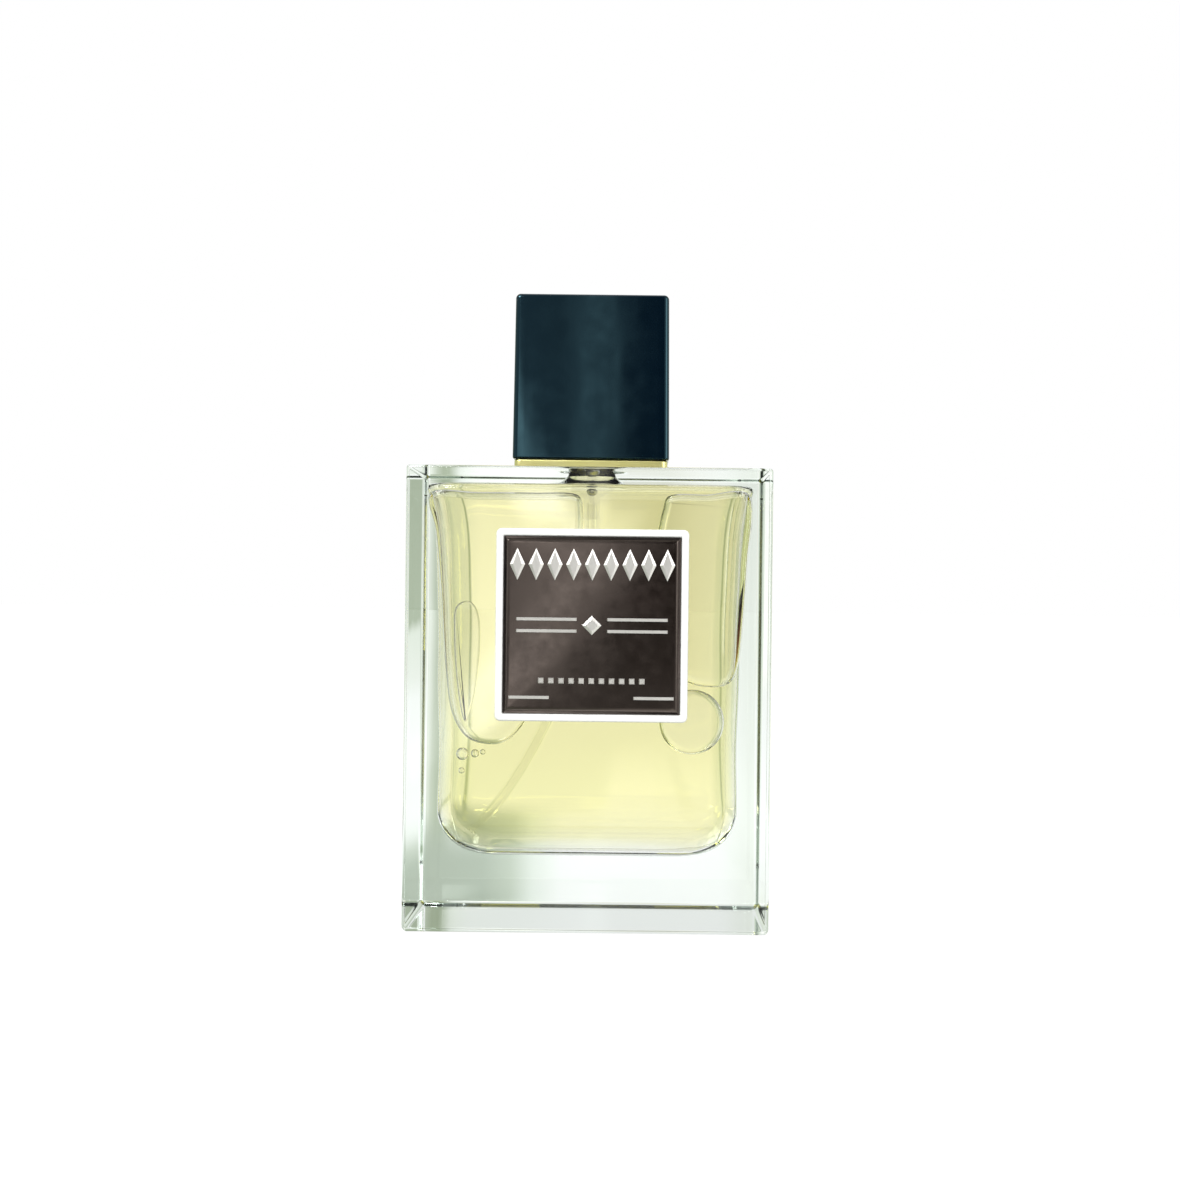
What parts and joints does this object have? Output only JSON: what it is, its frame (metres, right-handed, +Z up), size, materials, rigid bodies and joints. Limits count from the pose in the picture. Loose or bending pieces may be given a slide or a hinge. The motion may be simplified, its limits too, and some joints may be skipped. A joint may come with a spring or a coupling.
{
  "type": "spray perfume bottle",
  "caption": "Square-shouldered clear glass spray bottle with yellow fragrance, dark square pull-off cap, gilt collar and framed front label.",
  "frame": {"origin": "middle of the flat base that the bottle stands on", "axes": "+Z up through the neck, the label and the spray nozzle face -Y, +X to the right of the label"},
  "size_m": [0.066, 0.0373, 0.1159],
  "materials": {
    "clear_glass": "gloss",
    "fragrance": "gloss",
    "adhesive_film": "satin",
    "white_frame": "satin",
    "dark_panel": "gloss",
    "silver_ornament": "satin",
    "gilt_collar": "satin",
    "bare_aluminium": "satin",
    "spring_steel": "polished",
    "pump_plastic": "satin",
    "clear_tube": "gloss",
    "gasket_rubber": "matte",
    "gasket_foam": "matte",
    "button_plastic": "satin",
    "cap_lacquer": "gloss",
    "liner_plastic": "satin"
  },
  "bodies": {
    "bottle": {"glass_bottle": "clear_glass", "fragrance_liquid": "fragrance", "label_adhesive": "adhesive_film", "label_frame": "white_frame", "label_panel": "dark_panel", "label_ornament": "silver_ornament", "neck_gasket": "gasket_foam", "crimp_ferrule": "bare_aluminium", "collar": "gilt_collar", "pump_housing": "pump_plastic", "stem_guide": "pump_plastic", "stem_seal": "gasket_rubber", "dip_tube": "clear_tube", "return_spring": "spring_steel"},
    "cap": {"cap_shell": "cap_lacquer", "cap_liner": "liner_plastic"},
    "stem": {"pump_stem": "pump_plastic", "stem_pin": "pump_plastic", "priming_spring": "spring_steel"},
    "piston": {"pump_piston": "pump_plastic"},
    "actuator": {"spray_button": "button_plastic", "nozzle_insert": "button_plastic"},
    "inlet_valve": {"inlet_ball": "spring_steel"}
  },
  "joints": [
    {"name": "cap_lift", "type": "slide", "parent": "bottle", "child": "cap", "axis": [0, 0, 1], "range_m": [0, 0.036]},
    {"name": "stem_press", "type": "slide", "parent": "bottle", "child": "stem", "axis": [0, 0, -1], "range_m": [0, 0.0042], "stiffness_N_per_m": 2500, "deforming": ["return_spring"]},
    {"name": "piston_lift", "type": "slide", "parent": "stem", "child": "piston", "axis": [0, 0, 1], "range_m": [0, 0.0004], "deforming": ["priming_spring"]},
    {"name": "actuator_turn", "type": "hinge", "parent": "stem", "child": "actuator", "pos_m": [0, 0, 0.1048], "axis": [0, 0, 1], "continuous": true},
    {"name": "inlet_ball_lift", "type": "slide", "parent": "bottle", "child": "inlet_valve", "axis": [0, 0, 1], "range_m": [0, 0.0005]}
  ],
  "couplings": [
    {"joint": "piston_lift", "follows": "stem_press", "ratio": 0.095238}
  ]
}
